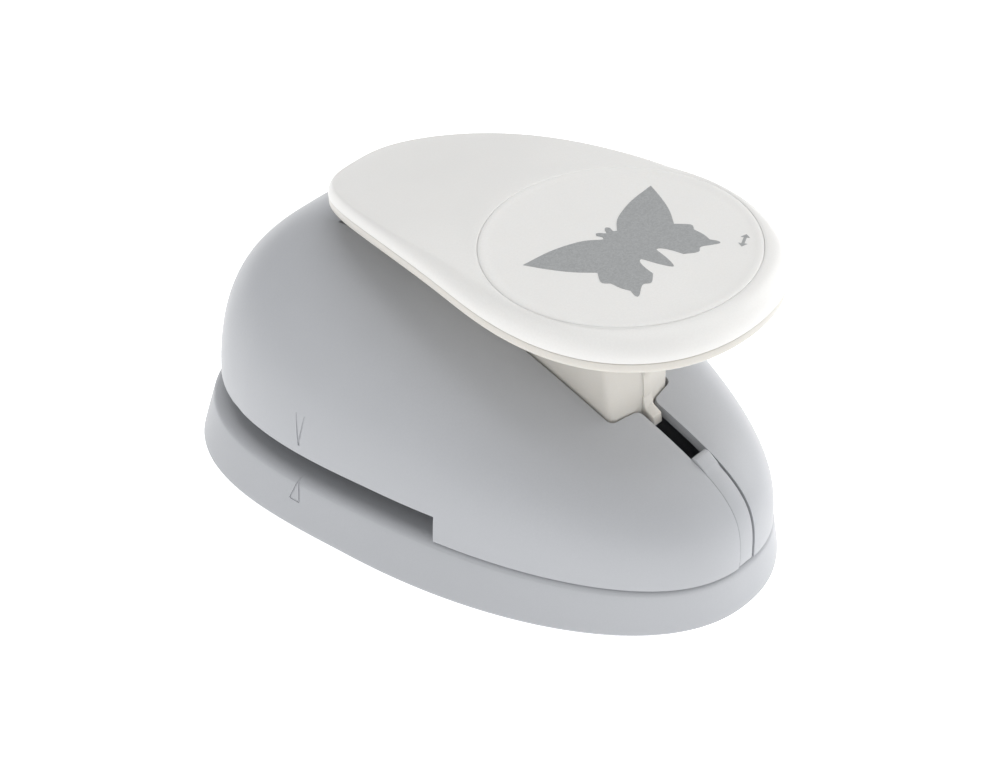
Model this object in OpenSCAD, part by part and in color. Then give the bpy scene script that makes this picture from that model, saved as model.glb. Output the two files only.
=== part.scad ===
// Craft punch with a long press lever: an egg-shaped base with a die set in it,
// a domed housing that stands on the front of the base and leaves a paper mouth
// round its back, and a lever that pivots inside the back of the housing.
// +X is to the side, -Y is the nose and the press pad, +Z is up. Millimetres.
// Lengths are measured from a middle near the die, and seat() then puts the middle of
// the foot over the origin.

/* [Base] */
// Length of the base's foot in front of its middle
foot_front_len = 73.5; // [72:0.5:75]
// Length of the base's foot behind its middle
foot_back_len = 59.8; // [58:0.1:62]
// Half the nominal width of the base on the table
foot_half_w = 44.6; // [43:0.1:46]
// Where the middle of the foot lies along Y
foot_mid_y = 1.5; // [0:0.1:3]
// Length of the base's top edge in front of its middle
top_half_len = 69.2; // [67:0.1:70]
// Length of the base's top edge behind its middle
top_back_len = 61.6; // [61:0.1:63]
// Half the nominal width of the base at its top edge
top_half_w = 40.2; // [39:0.1:42]
// Where the middle of the top edge lies along Y
top_mid_y = -1.5; // [-2:0.1:0]
// Height of the base's top face
deck_z = 11.5; // [11:0.1:12]
// Roundness of the plan: 2 is an ellipse, more is boxier
plan_power = 2.35; // [2:0.05:3]
// How much wider the back is than the front
plan_egg = 0.18; // [0:0.01:0.3]

/* [Housing] */
// Half length of the housing behind its middle
shell_back_len = 61; // [58:0.5:63]
// Roundness of the housing's plan at the back
shell_back_power = 2.8; // [2.2:0.1:3.2]
// Wall thickness of the housing
wall = 2.2; // [1.8:0.1:2.6]
// Height of the housing over the deck at Y = 0
crown_h = 38; // [36:0.5:40]
// Height of the back part's lower edge above the table
mouth_z = 18; // [16:0.5:19]
// Where the paper mouth starts, behind the nose
mouth_y = -19; // [-22:1:-16]

/* [Lever] */
// Distance of the pivot behind the origin
pivot_y = 44; // [42:1:46]
// Height of the pivot
pivot_z = 36; // [35:1:37]
// Height of the pad's face at the middle of the disc
pad_z = 73.7; // [72:0.1:75]
// Where the middle of the disc lies along Y
disc_y = -35.2; // [-37:0.1:-33]
// Radius of the disc in the pad
disc_r = 28; // [26:0.5:29]
// Half the width of the hollow stem under the lever
stem_half_w = 9; // [8:0.5:9]

/* [Punch set] */
// Width of the cut butterfly
motif_w = 50.8; // [40:0.1:51]
// Where the middle of the motif lies along Y
die_y = 16; // [14:0.5:18]
// Thickness of the die plate
die_t = 3; // [2:0.5:3]
// Height of the paper gap
paper_gap = 1.2; // [0.8:0.1:1.5]
// Clearance round the cutter in the die
die_gap = 0.15; // [0.1:0.05:0.3]

/* [Hidden] */
$fn = 48;

grey = [0.77, 0.78, 0.80];
white = [0.94, 0.94, 0.93];
ivory = [0.87, 0.86, 0.82];
steel = [0.68, 0.69, 0.71];
dark = [0.12, 0.12, 0.13];
silver = [0.62, 0.64, 0.65];

// Heights of the punch set, from the table up
foot_z = 0.7;
foot_egg = 0.11;
foot_front_power = 2.16;
foot_back_power = 3;
deck_t = 5;
die_z = deck_z - die_t;
stripper_z = deck_z + paper_gap;
stripper_t = 2.5;
stripper_top = stripper_z + stripper_t;
cutter_z = stripper_z + 0.7;
holder_z = 25;
holder_t = 4;
holder_top = holder_z + holder_t;
press_pin_r = 3;
press_pin_y = 16.5;
press_pin_gap = 0.3;
pad_top_z = pivot_z - press_pin_r - press_pin_gap;
die_half_x = 32;
die_half_y = 24;
chute_half_x = 28;
chute_half_y = 20;
post_x = 25.5;
post_y = 8;
post_r = 2;
bush_r = 3.6;
spring_r = 4.3;
bolt_r = 1.5;
run_gap = 0.05;

// Lever outline, crown and edge
lever_front = -68;
lever_back = 37.5;
lever_mid = (lever_front + lever_back) / 2;
lever_half_len = (lever_back - lever_front) / 2;
lever_half_w = 29;
lever_egg = -0.39;
lever_front_power = 2.12;
lever_back_power = 3.2;
pad_slope = 0.047;
lever_bend_y = -10;
lever_bend = 0.00285;
edge_drop = 5;
edge_in = 3.6;
rim_t = 1.8;
rim_in = 0.7;
cover_t = 1.8;
pivot_pin_r = 3;
boss_r = 6;
stem_wall = 2;
stem_low = 33.3;
stem_back = 31.5;
stem_corner_r = 85.6;
stem_prow_r = 87.5;
rib_half_w = 2;
slot_half_w = 2.4;
window_gap = 0.35;
window_back = 33.6;
side = [-1, 1];

function spow(v, p) = sign(v) * pow(abs(v), p);
function clamp01(v) = max(0, min(1, v));
function bulge(u, p) = pow(clamp01(1 - pow(abs(u), p)), 1 / p);

// A closed egg-shaped ring, from the front tip round by +X to the back and home
function egg_ring(front, back, w, egg, p_front, p_back, mid, n = 60) = [
    for (i = [0:n - 1])
        let (c = sin(i * 360 / n), s = -cos(i * 360 / n), p = s < 0 ? p_front : p_back,
            v = spow(s, 2 / p))
            [w * spow(c, 2 / p) * (1 + egg * v), mid + (s < 0 ? front : back) * v]];

function mix(a, b, t) = a + t * (b - a);
function base_ring(inset, z) =
    let (t = (z - foot_z) / (deck_z - foot_z))
    [for (q = egg_ring(mix(foot_front_len, top_half_len, t) - inset,
            mix(foot_back_len, top_back_len, t) - inset, mix(foot_half_w, top_half_w, t) - inset,
            mix(foot_egg, plan_egg, t), mix(foot_front_power, plan_power, t),
            mix(foot_back_power, shell_back_power, t), mix(foot_mid_y, top_mid_y, t)))
        [q[0], q[1], z]];

// Half width and height over the deck of the housing at y, moved in by inset
function shell_u(y, inset) = (y - top_mid_y) / ((y < top_mid_y ? top_half_len : shell_back_len) - inset);
function shell_w(y, inset) =
    let (u = shell_u(y, inset))
    (top_half_w - inset) * bulge(u, u < 0 ? plan_power : shell_back_power) * (1 + plan_egg * u);
function crown(y) =
    let (t = y / 70) crown_h + 14.5 * t - 11 * t * t - 12.5 * t * t * t;
function shell_h(y, inset) =
    let (u = shell_u(y, inset)) (crown(y) - inset) * bulge(u, u < 0 ? 3.35 : 5);
function shell_section_power(y) = 2.35 + 0.6 * (y + 70) / 140;
function dome_row(y, inset, drop, n = 22) =
    let (w = shell_w(y, inset), h = shell_h(y, inset), e = 2 / shell_section_power(y))
    concat(drop > 0 ? [[-w, y, deck_z - drop]] : [],
        [for (i = [0:n]) let (a = i * 180 / n)
            [-w * spow(cos(a), e), y, deck_z + h * pow(clamp01(sin(a)), e)]],
        drop > 0 ? [[w, y, deck_z - drop]] : []);
function dome_y(a, inset) =
    top_mid_y + sin(a) * ((a < 0 ? top_half_len : shell_back_len) - inset);

// Height of the lever's top face at y, and a ring of the lever moved in and down
function lever_top(y) =
    pad_z - pad_slope * (y - disc_y) - lever_bend * pow(max(0, y - lever_bend_y), 2);
function lever_ring(inset, drop, n = 60) =
    [for (q = egg_ring(lever_half_len - inset, lever_half_len - inset, lever_half_w - inset,
            lever_egg, lever_front_power, lever_back_power, lever_mid, n))
        [q[0], q[1], lever_top(q[1]) - drop]];
function lever_edge(a, inset, drop) =
    lever_ring(inset + edge_in * (1 - sin(a)), drop + (edge_drop - drop) * (1 - cos(a)));

// Half of the butterfly, on a half width of 1, from the tail end of its body to its head
wing = [[0, -0.57], [0.065, -0.43], [0.11, -0.25], [0.13, -0.23], [0.17, -0.26], [0.21, -0.36],
    [0.24, -0.5], [0.37, -0.59], [0.46, -0.55], [0.625, -0.65], [0.655, -0.62], [0.62, -0.53],
    [0.65, -0.42], [0.655, -0.29], [0.705, -0.2], [0.6, -0.055], [0.76, 0.145], [0.89, 0.375],
    [1, 0.62], [0.7, 0.59], [0.52, 0.55], [0.35, 0.49], [0.24, 0.43], [0.11, 0.31],
    [0.08, 0.34], [0.1, 0.405], [0.075, 0.44], [0.04, 0.42], [0, 0.365]];
function butterfly(w) = [
    for (q = wing) q * w / 2,
    for (i = [len(wing) - 2:-1:1]) [-wing[i][0], wing[i][1]] * w / 2];
// The same outline moved out by d at every corner
function unit(v) = v / norm(v);
function grown(pts, d) = [
    for (i = [0:len(pts) - 1])
        let (n = len(pts), a = unit(pts[i] - pts[(i + n - 1) % n]),
            b = unit(pts[(i + 1) % n] - pts[i]), m = unit([a[1] + b[1], -a[0] - b[0]]),
            k = max(0.5, m * [a[1], -a[0]]))
            pts[i] + m * d / k];

// A solid skinned over rings of equal length, from the bottom up. Each ring mirrors
// itself in X, so its two ends are closed with strips between the mirrored points.
module skin(rings) {
    n = len(rings[0]);
    top = (len(rings) - 1) * n;
    strips = [for (i = [1:n / 2]) each concat(
        i < n / 2 ? [[i - 1, i, n - i]] : [],
        i > 1 ? [[i - 1, n - i, n - i + 1]] : [])];
    polyhedron([for (r = rings) each r],
        concat(skin_walls(rings), strips, [for (f = strips) [f[2] + top, f[1] + top, f[0] + top]]));
}
function skin_walls(rings) = [
    for (r = [0:len(rings) - 2], n = [len(rings[0])], i = [0:n - 1])
        let (a = r * n + i, b = r * n + (i + 1) % n, c = a + n, d = b + n)
            each [[a, c, b], [b, c, d]]];

// The same, over flat sections along Y, each closed at both ends by one flat face
module section_skin(rings) {
    n = len(rings[0]);
    top = (len(rings) - 1) * n;
    polyhedron([for (r = rings) each r],
        concat(skin_walls(rings), [[for (i = [0:n - 1]) i]], [[for (i = [n - 1:-1:0]) top + i]]));
}

module seat() { translate([0, (foot_front_len - foot_back_len) / 2 - foot_mid_y, 0]) children(); }
module at(x, y, z) { translate([x, y, z]) children(); }
module along_x(y, z) { translate([0, y, z]) rotate([0, 90, 0]) children(); }
module rod_x(r, half, y, z) { along_x(y, z) cylinder(r = r, h = 2 * half, center = true); }
module plate_yz(x0, x1, pts) {
    translate([x0, 0, 0]) rotate([90, 0, 90]) linear_extrude(x1 - x0) polygon(pts);
}
module block(x0, x1, y0, y1, z0, z1) { translate([x0, y0, z0]) cube([x1 - x0, y1 - y0, z1 - z0]); }
module pan_screw(head_r, head_h, r, len) {
    translate([0, 0, -len]) cylinder(r = r, h = len + 0.2);
    difference() {
        cylinder(r = head_r, h = head_h);
        for (a = [0, 90]) rotate([0, 0, a])
            block(-head_r * 0.55, head_r * 0.55, -0.35, 0.35, head_h * 0.4, head_h + 1);
    }
}

shell_bolts = [for (s = side) each [[s * 14, -50], [s * 27, -30]]];
stripper_bolts = [[-22, -15.5], [0, -15.5], [22, -15.5]];
die_bolts = [for (s = side, t = side) [s * 29.8, die_y + t * 21.8]];
cover_bolts = [for (s = side) each [[s * 17, -34], [s * 13.5, 12]]];
rivets = [for (s = side, y = [40.5, 49.5]) [s * 5, y]];
feet = [for (s = side) each [[s * 24, -43], [s * 29, 46]]];
bottom_bolts = [for (s = side) each [[s * 31, -14.5], [s * 14, 52]]];

module base_tray() {
    color(grey) difference() {
        skin([base_ring(0.8, foot_z), base_ring(0, 1.6), base_ring(0, 10.4),
            base_ring(1.1, deck_z)]);
        difference() {
            skin([base_ring(wall + 0.4, foot_z - 0.45), base_ring(wall + 0.4, deck_z - deck_t)]);
            for (b = concat(shell_bolts, bottom_bolts)) at(b[0], b[1], 2.7) cylinder(r = 4, h = deck_z);
            block(-die_half_x, die_half_x, die_y - die_half_y, die_y + die_half_y, 2.7, deck_z);
        }
        block(-chute_half_x, chute_half_x, die_y - chute_half_y, die_y + chute_half_y, -1, deck_z + 1);
        block(-die_half_x - 0.1, die_half_x + 0.1, die_y - die_half_y - 0.1, die_y + die_half_y + 0.1,
            die_z, deck_z + 1);
        for (b = shell_bolts) at(b[0], b[1], -1) cylinder(r = bolt_r + run_gap, h = deck_z + 3);
        for (b = shell_bolts) at(b[0], b[1], -1) cylinder(r = 2.9, h = 6);
        for (b = stripper_bolts) at(b[0], b[1], 7) cylinder(r = bolt_r + run_gap, h = deck_z);
        for (b = die_bolts) at(b[0], b[1], 3.5) cylinder(r = 1.3, h = deck_z);
        for (b = bottom_bolts) at(b[0], b[1], -1) cylinder(r = 1.3, h = 8);
        for (s = side) base_mark(s);
    }
}

// The raised-edge pointer on the base that shows the middle of the die
mark_y = 15.5;
module base_mark(s) {
    foot_w = 45.5;
    lean = 19;
    scale([s, 1, 1]) translate([foot_w, mark_y, foot_z]) rotate([0, -lean, 0])
        plate_yz(-0.35, 2, [[-1.5, 5.8], [1.5, 5.8], [0, 11]]);
}

module bottom_cover() {
    color(dark) difference() {
        skin([base_ring(wall + 0.7, foot_z + 0.2), base_ring(wall + 0.7, foot_z + 1.8)]);
        block(-chute_half_x, chute_half_x, die_y - chute_half_y, die_y + chute_half_y, -1, 9);
        for (b = feet) at(b[0], b[1], foot_z + 0.9) mirror([0, 0, 1]) cylinder(r = 5.1, h = 3);
        for (b = bottom_bolts) at(b[0], b[1], -1) cylinder(r = 1.5, h = 8);
        for (b = bottom_bolts) at(b[0], b[1], -1) cylinder(r = 2.7, h = 2.6);
        for (b = shell_bolts) at(b[0], b[1], -1) cylinder(r = 3.4, h = 8);
    }
}

module rubber_feet() {
    color(dark) for (b = feet) at(b[0], b[1], 0) {
        cylinder(r1 = 4.4, r2 = 5, h = 0.8);
        at(0, 0, 0.8) cylinder(r = 5, h = foot_z + 0.1);
    }
}

module bottom_screws() {
    color(steel) for (b = bottom_bolts) at(b[0], b[1], foot_z + 0.9)
        mirror([0, 0, 1]) pan_screw(2.5, 0.85, 1.2, 5);
}

module housing_shell() {
    color(grey) difference() {
        section_skin([for (i = [0:20]) dome_row(dome_y(-84 + i * 8.4, 0), 0, 0)]);
        difference() {
            section_skin([for (i = [0:18]) dome_row(dome_y(-82 + i * 9.1, wall), wall, 2)]);
            for (b = shell_bolts) at(b[0], b[1], 0) cylinder(r = 3.6, h = 60);
        }
        block(-60, 60, mouth_y, 90, 0, mouth_z);
        translate([0, 0, 20]) linear_extrude(60) polygon([
            [-stem_half_w - 0.5, window_back],
            [-stem_half_w - 0.5, pivot_y - stem_corner_r - window_gap],
            [0, pivot_y - stem_prow_r - window_gap],
            [stem_half_w + 0.5, pivot_y - stem_corner_r - window_gap],
            [stem_half_w + 0.5, window_back]]);
        block(-slot_half_w, slot_half_w, -80, pivot_y - stem_corner_r, 0, 60);
        for (b = shell_bolts) at(b[0], b[1], 0) cylinder(r = bolt_r + run_gap, h = 24.5);
        for (s = side) scale([s, 1, 1]) translate([40.95, mark_y, 0])
            plate_yz(0, 5, [[0, 20.3], [1.25, 27.8], [-1.25, 27.8]]);
    }
}

clip_top_y = -58;
clip_t = 2.6;
function clip_start(inset) = asin((top_mid_y - clip_top_y) / (top_half_len - inset));
function clip_curve(inset) = [
    for (i = [0:8]) let (a = clip_start(inset) + i * (89.9 - clip_start(inset)) / 8,
        y = dome_y(-a, inset)) [y, i == 8 ? deck_z + 0.05 : deck_z + shell_h(y, inset)]];
module nose_clip() {
    outer = clip_curve(0.1);
    inner = clip_curve(clip_t);
    color(grey) {
        plate_yz(-2.05, 2.05, concat(outer, [for (i = [8:-1:0]) inner[i]]));
        rod_x(1.3, 2.05, clip_top_y - 0.2, inner[0][1] + 1.2);
    }
}

module housing_screws() {
    color(steel) for (b = shell_bolts) at(b[0], b[1], 5)
        mirror([0, 0, 1]) pan_screw(2.7, 2, bolt_r, 19);
}

module motif_hole(d, z0, z1) {
    translate([0, die_y, z0]) linear_extrude(z1 - z0) polygon(grown(butterfly(motif_w), d));
}

module die_plate() {
    color(steel) difference() {
        block(-die_half_x, die_half_x, die_y - die_half_y, die_y + die_half_y, die_z, deck_z);
        motif_hole(die_gap, 0, 20);
        for (b = die_bolts) at(b[0], b[1], 0) cylinder(r = 1.3, h = 20);
        for (b = die_bolts) at(b[0], b[1], deck_z - 1.3) cylinder(r1 = 1.3, r2 = 2.65, h = 1.35);
    }
}

module die_screws() {
    color(steel) for (b = die_bolts) at(b[0], b[1], 0) difference() {
        union() {
            at(0, 0, 4) cylinder(r = 1.25, h = deck_z - 5);
            at(0, 0, deck_z - 1.35) cylinder(r1 = 1.2, r2 = 2.45, h = 1.25);
        }
        for (a = [0, 90]) rotate([0, 0, a]) block(-1.4, 1.4, -0.3, 0.3, deck_z - 0.7, deck_z + 1);
    }
}

module throat_spacer() {
    color(steel) difference() {
        block(-31, 31, -19, -12, deck_z, stripper_z);
        for (b = stripper_bolts) at(b[0], b[1], 0) cylinder(r = bolt_r + run_gap, h = 30);
    }
}

module stripper_plate() {
    color(steel) difference() {
        union() {
            block(-31, 31, -19, 38, stripper_z, stripper_top);
            block(-17, 17, 37, 52, stripper_z, stripper_top);
        }
        motif_hole(0.4, 0, 30);
        for (b = stripper_bolts) at(b[0], b[1], 0) cylinder(r = bolt_r + run_gap, h = 30);
        for (s = side) at(s * post_x, post_y, 0) cylinder(r = post_r + 0.02, h = 30);
        for (b = rivets) at(b[0], b[1], 0) cylinder(r = 1.55, h = 30);
    }
}

module stripper_screws() {
    color(steel) for (b = stripper_bolts) at(b[0], b[1], stripper_top) pan_screw(2.8, 1.8, bolt_r, 8);
}

module guide_posts() {
    color(steel) for (s = side) at(s * post_x, post_y, stripper_z) {
        cylinder(r = post_r, h = 22);
        at(0, 0, 22) cylinder(r1 = post_r, r2 = post_r - 0.6, h = 0.8);
    }
}

cheek_in = 11.5;
cheek_out = 13.5;
module pivot_bracket() {
    color(steel) difference() {
        union() {
            block(-cheek_out, cheek_out, 37, 51.5, stripper_top, stripper_top + 2);
            for (s = side) scale([s, 1, 1]) {
                translate([cheek_in, 0, 0]) block(0, cheek_out - cheek_in, 38, 50, stripper_top, pivot_z);
                translate([cheek_in, pivot_y, pivot_z]) rotate([0, 90, 0])
                    cylinder(r = boss_r, h = cheek_out - cheek_in);
            }
        }
        rod_x(pivot_pin_r + 0.02, 30, pivot_y, pivot_z);
        for (b = rivets) at(b[0], b[1], 0) cylinder(r = 1.55, h = 30);
    }
}

module bracket_rivets() {
    color(steel) for (b = rivets) at(b[0], b[1], stripper_z + 0.1) {
        cylinder(r = 1.5, h = stripper_t + 2.2);
        at(0, 0, stripper_t + 1.95) cylinder(r1 = 2.7, r2 = 1.8, h = 1.1);
    }
}

module pivot_pin() {
    color(steel) difference() {
        rod_x(pivot_pin_r, 15.8, pivot_y, pivot_z);
        for (s = side) along_x(pivot_y, pivot_z) translate([0, 0, s * 14.2]) difference() {
            cylinder(r = pivot_pin_r + 1, h = 0.9, center = true);
            cylinder(r = pivot_pin_r - 0.6, h = 2, center = true);
        }
    }
}

module pivot_spacers() {
    color(white) for (s = side) along_x(pivot_y, pivot_z) translate([0, 0, s * (stem_half_w + cheek_in) / 2])
        difference() {
            cylinder(r = 4.8, h = 1.9, center = true);
            cylinder(r = pivot_pin_r + run_gap, h = 4, center = true);
        }
}

module pin_clips() {
    color(steel) for (s = side) along_x(pivot_y, pivot_z) translate([0, 0, s * 14.2]) difference() {
        cylinder(r = 5, h = 0.7, center = true);
        cylinder(r = pivot_pin_r - 0.55, h = 2, center = true);
        translate([-1.9, 0, -2]) cube([3.8, 8, 4]);
    }
}

module return_springs() {
    color(steel) for (s = side) at(s * post_x, post_y, stripper_top) difference() {
        cylinder(r = spring_r, h = holder_z - stripper_top);
        at(0, 0, -1) cylinder(r = spring_r - 1, h = 20);
    }
}

module punch_cutter() {
    color(steel) motif_hole(0, cutter_z, holder_z);
}

holder_bolts = [for (s = side) each [[s * 9, 22], [s * 9, 11.5]]];
module punch_holder() {
    color(steel) difference() {
        block(-31, 31, -2, 35, holder_z, holder_top);
        for (s = side) at(s * post_x, post_y, 0) cylinder(r = bush_r, h = 40);
        for (b = holder_bolts) at(b[0], b[1], 0) cylinder(r = 1.3, h = 40);
        for (b = holder_bolts) at(b[0], b[1], holder_top - 1.4) cylinder(r1 = 1.3, r2 = 2.7, h = 1.45);
    }
}

module holder_screws() {
    color(dark) for (b = holder_bolts) at(b[0], b[1], 0) {
        at(0, 0, holder_z + 0.1) cylinder(r = 1.25, h = holder_t - 1);
        at(0, 0, holder_top - 1.4) cylinder(r1 = 1.2, r2 = 2.5, h = 1.3);
    }
}

module guide_bushes() {
    color([0.72, 0.6, 0.36]) for (s = side) at(s * post_x, post_y, holder_z) difference() {
        union() {
            cylinder(r = bush_r, h = holder_t);
            at(0, 0, holder_t) cylinder(r = bush_r + 1, h = 1);
        }
        at(0, 0, -1) cylinder(r = post_r + run_gap, h = 20);
    }
}

module wear_pad() {
    color(dark) block(-6.2, 6.2, press_pin_y - 9, press_pin_y + 8, holder_top, pad_top_z);
}

// A plug as wide as the disc, square to the pad's face and sunk into it
module pad_plug(r, up, down) {
    translate([0, disc_y, pad_z]) rotate([-atan(pad_slope), 0, 0]) translate([0, 0, -down])
        cylinder(r = r, h = up + down, $fn = 96);
}

module lever_cover() {
    color(white) difference() {
        skin([lever_ring(0, edge_drop), for (a = [72:-18:0]) lever_edge(a, 0, 0)]);
        difference() {
            skin([lever_ring(cover_t, edge_drop + 1), lever_ring(cover_t, edge_drop),
                for (a = [70:-35:0]) lever_edge(a, cover_t, cover_t)]);
            pad_plug(disc_r + 2, 1, 3.2);
            for (b = cover_bolts) at(b[0], b[1], 50) cylinder(r = 3.2, h = 40);
        }
        pad_plug(disc_r + 0.15, 5, 1.2);
        for (b = cover_bolts) at(b[0], b[1], lever_top(b[1]) - 20) cylinder(r = 1.3, h = 18);
    }
}

// The stem's front swings about the pivot, so it is an arc. Its side goes up that arc,
// along under the plate, down to the pivot and back
function under_plate(y) = lever_top(y) - edge_drop - rim_t / 2;
stem_low_a = asin((stem_low - pivot_z) / stem_corner_r);
stem_high_a = asin((under_plate(-38) - pivot_z) / stem_corner_r);
stem_arc = [for (i = [0:6]) let (a = stem_low_a + i * (stem_high_a - stem_low_a) / 6,
    r = stem_corner_r - stem_wall / 2) [pivot_y - r * cos(a), pivot_z + r * sin(a)]];
stem_side = concat(stem_arc,
    [for (i = [1:7]) let (y = -38 + i * (stem_back + 38) / 7) [y, under_plate(y)]],
    [[stem_back, 45], [pivot_y, pivot_z + 5.5], [pivot_y, pivot_z - 5], [22, 32],
    [press_pin_y - 4, 33.6], [-9, 38.6], [-12, stem_low]]);

module stem_front_wall() {
    along_x(pivot_y, pivot_z) rotate([0, 0, -90 - stem_high_a])
        rotate_extrude(angle = stem_high_a - stem_low_a)
            polygon([[stem_corner_r - stem_wall, -stem_half_w], [stem_corner_r, -stem_half_w],
                [stem_prow_r, 0], [stem_corner_r, stem_half_w], [stem_corner_r - stem_wall, stem_half_w],
                [stem_prow_r - stem_wall, 0]]);
}

module lever_frame() {
    color(ivory) difference() {
        union() {
            skin([lever_ring(rim_in + 0.5, edge_drop + rim_t), lever_ring(rim_in, edge_drop + rim_t - 0.5),
                lever_ring(rim_in, edge_drop + 0.02)]);
            for (s = side) scale([s, 1, 1]) {
                plate_yz(stem_half_w - stem_wall, stem_half_w, stem_side);
                translate([stem_half_w - stem_wall, pivot_y, pivot_z]) rotate([0, 90, 0])
                    cylinder(r = boss_r, h = stem_wall);
                translate([stem_half_w - stem_wall, press_pin_y, pivot_z]) rotate([0, 90, 0])
                    cylinder(r = 4.4, h = stem_wall);
            }
            block(-stem_half_w, stem_half_w, stem_back - 2, stem_back, 45, under_plate(stem_back));
            stem_front_wall();
            plate_yz(-rib_half_w, rib_half_w, [[-58, under_plate(-58)], [-46.6, 55], [-45.6, 38],
                [-48.2, 36.6], [-48.2, stem_low + 0.9], [-43, stem_low + 0.6], [-42, 50],
                [-38, under_plate(-38)]]);
        }
        rod_x(pivot_pin_r + run_gap, 30, pivot_y, pivot_z);
        rod_x(press_pin_r + 0.02, 30, press_pin_y, pivot_z);
        for (b = cover_bolts) at(b[0], b[1], 40) cylinder(r = 1.5, h = 40);
    }
}

module cover_screws() {
    color(steel) for (b = cover_bolts) at(b[0], b[1], lever_top(b[1]) - edge_drop - rim_t - 0.6)
        mirror([0, 0, 1]) pan_screw(2.5, 1.4, 1.2, 4.2);
}

module press_pin() {
    color(steel) rod_x(press_pin_r, stem_half_w, press_pin_y, pivot_z);
}

module motif_disc() {
    color(white) pad_plug(disc_r, 0.25, 1.15);
}

// Flat shapes printed on the face of the disc
module on_disc(t) {
    translate([0, disc_y, pad_z]) rotate([-atan(pad_slope), 0, 0]) translate([0, 0, 0.25])
        linear_extrude(t) children();
}

module motif_print() {
    color(silver) on_disc(0.1) translate([0.8, -2.3]) rotate(-2) polygon(butterfly(37.4));
}

module size_mark() {
    color(silver) on_disc(0.1) translate([16, -18]) rotate(25)
        polygon([[-2.2, 0], [-1.1, 0.9], [-1.1, 0.3], [1.1, 0.3], [1.1, 0.9], [2.2, 0],
            [1.1, -0.9], [1.1, -0.3], [-1.1, -0.3], [-1.1, -0.9]]);
}

seat() base_tray();
seat() bottom_cover();
seat() rubber_feet();
seat() bottom_screws();
seat() housing_shell();
seat() nose_clip();
seat() housing_screws();
seat() die_plate();
seat() die_screws();
seat() throat_spacer();
seat() stripper_plate();
seat() stripper_screws();
seat() guide_posts();
seat() pivot_bracket();
seat() bracket_rivets();
seat() pivot_pin();
seat() pivot_spacers();
seat() pin_clips();
seat() return_springs();
seat() punch_cutter();
seat() punch_holder();
seat() holder_screws();
seat() guide_bushes();
seat() wear_pad();
seat() lever_cover();
seat() lever_frame();
seat() cover_screws();
seat() press_pin();
seat() motif_disc();
seat() motif_print();
seat() size_mark();
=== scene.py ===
"""Looks of the craft punch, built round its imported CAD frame. Lengths are in mm until a mesh is made."""

import math

import bmesh
import bpy
import numpy as np
from mathutils import Matrix, Vector


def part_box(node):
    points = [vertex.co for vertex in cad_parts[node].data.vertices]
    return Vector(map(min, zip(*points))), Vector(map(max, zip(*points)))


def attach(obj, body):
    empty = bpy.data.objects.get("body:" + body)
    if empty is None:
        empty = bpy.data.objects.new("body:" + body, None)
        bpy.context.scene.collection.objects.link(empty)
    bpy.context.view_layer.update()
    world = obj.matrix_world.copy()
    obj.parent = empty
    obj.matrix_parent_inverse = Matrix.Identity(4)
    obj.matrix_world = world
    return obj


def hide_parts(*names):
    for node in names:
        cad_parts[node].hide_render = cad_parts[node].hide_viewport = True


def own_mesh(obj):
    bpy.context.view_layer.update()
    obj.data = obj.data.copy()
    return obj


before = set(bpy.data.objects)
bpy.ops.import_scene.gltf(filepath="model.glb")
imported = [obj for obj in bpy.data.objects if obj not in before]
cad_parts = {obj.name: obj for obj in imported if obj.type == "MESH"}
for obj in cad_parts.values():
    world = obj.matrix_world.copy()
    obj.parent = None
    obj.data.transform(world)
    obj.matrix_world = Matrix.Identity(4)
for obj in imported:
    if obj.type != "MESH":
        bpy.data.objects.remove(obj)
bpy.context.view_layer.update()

MM = 0.001
# Faces that meet at less than this are shaded as one while a piece is being made
BLEND_DEGREES = 35

# Base's foot and top edge: length in front of and behind the middle, half width, how much wider the back is,
# roundness in front and behind, and where the middle lies
FOOT = np.array([73.5, 59.8, 44.6, 0.11, 2.16, 3.0, 1.5])
TOP = np.array([69.2, 61.6, 40.2, 0.18, 2.35, 2.8, -1.5])
TOP_LEN, TOP_W, PLAN_EGG, PLAN_POWER, TOP_MID = TOP[[0, 2, 3, 4, 6]]
FOOT_Z, DECK_Z = 0.7, 11.5
SHOULDER = 2.6
SHOULDER_RISE = 0.62 * SHOULDER
# Y is counted from a line near the die, and every mesh is moved back by this to the frame's own origin
SEAT_Y = 5.35
# Housing
SHELL_BACK_LEN, SHELL_BACK_POWER = 60.2, 2.65
WALL = 2.2
CROWN_H = 38.0
NOSE_POWER, TAIL_POWER = 3.35, 5.0
MOUTH_Z, MOUTH_Y = 18.0, -19.0
SLOT_HALF = 2.4
WINDOW_HALF, WINDOW_BACK = 9.5, 33.6
PIVOT_Y, PIVOT_Z = 44.0, 36.0
STEM_HALF, STEM_CORNER_R, STEM_PROW_R = 9.0, 85.6, 87.5
STEM_LOW, STEM_STRAIGHT, STEM_TOP = 33.3, 58, 66
STEM_BACK, STEM_T = 31.5, 2.0
WINDOW_GAP = 0.35
PIVOT_BORE_R, TAB_HALF = 3.05, 1.3
CLIP_LEFT, CLIP_RIGHT = -2.28, 1.92
MARK_Y = 15.5
# Lever
LEVER_FRONT, LEVER_BACK = -68.2, 38.8
LEVER_MID = (LEVER_FRONT + LEVER_BACK) / 2
LEVER_LEN = (LEVER_BACK - LEVER_FRONT) / 2
LEVER_W, LEVER_EGG = 29.0, -0.39
LEVER_FRONT_POWER, LEVER_BACK_POWER = 2.12, 3.0
PAD_Z, DISC_Y, DISC_R, PAD_SLOPE = 73.7, -35.2, 28.0, 0.047
BEND_Y, BEND = -20.5, 0.00285
RIM_T, RIM_IN = 2.8, 0.12
COVER_T = 1.8
# The rounded edge stops this far from the disc
DISC_ROOM = 0.65
# Points on each ring of the cover and of the frame's rim
LEVER_POINTS = 320


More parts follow.
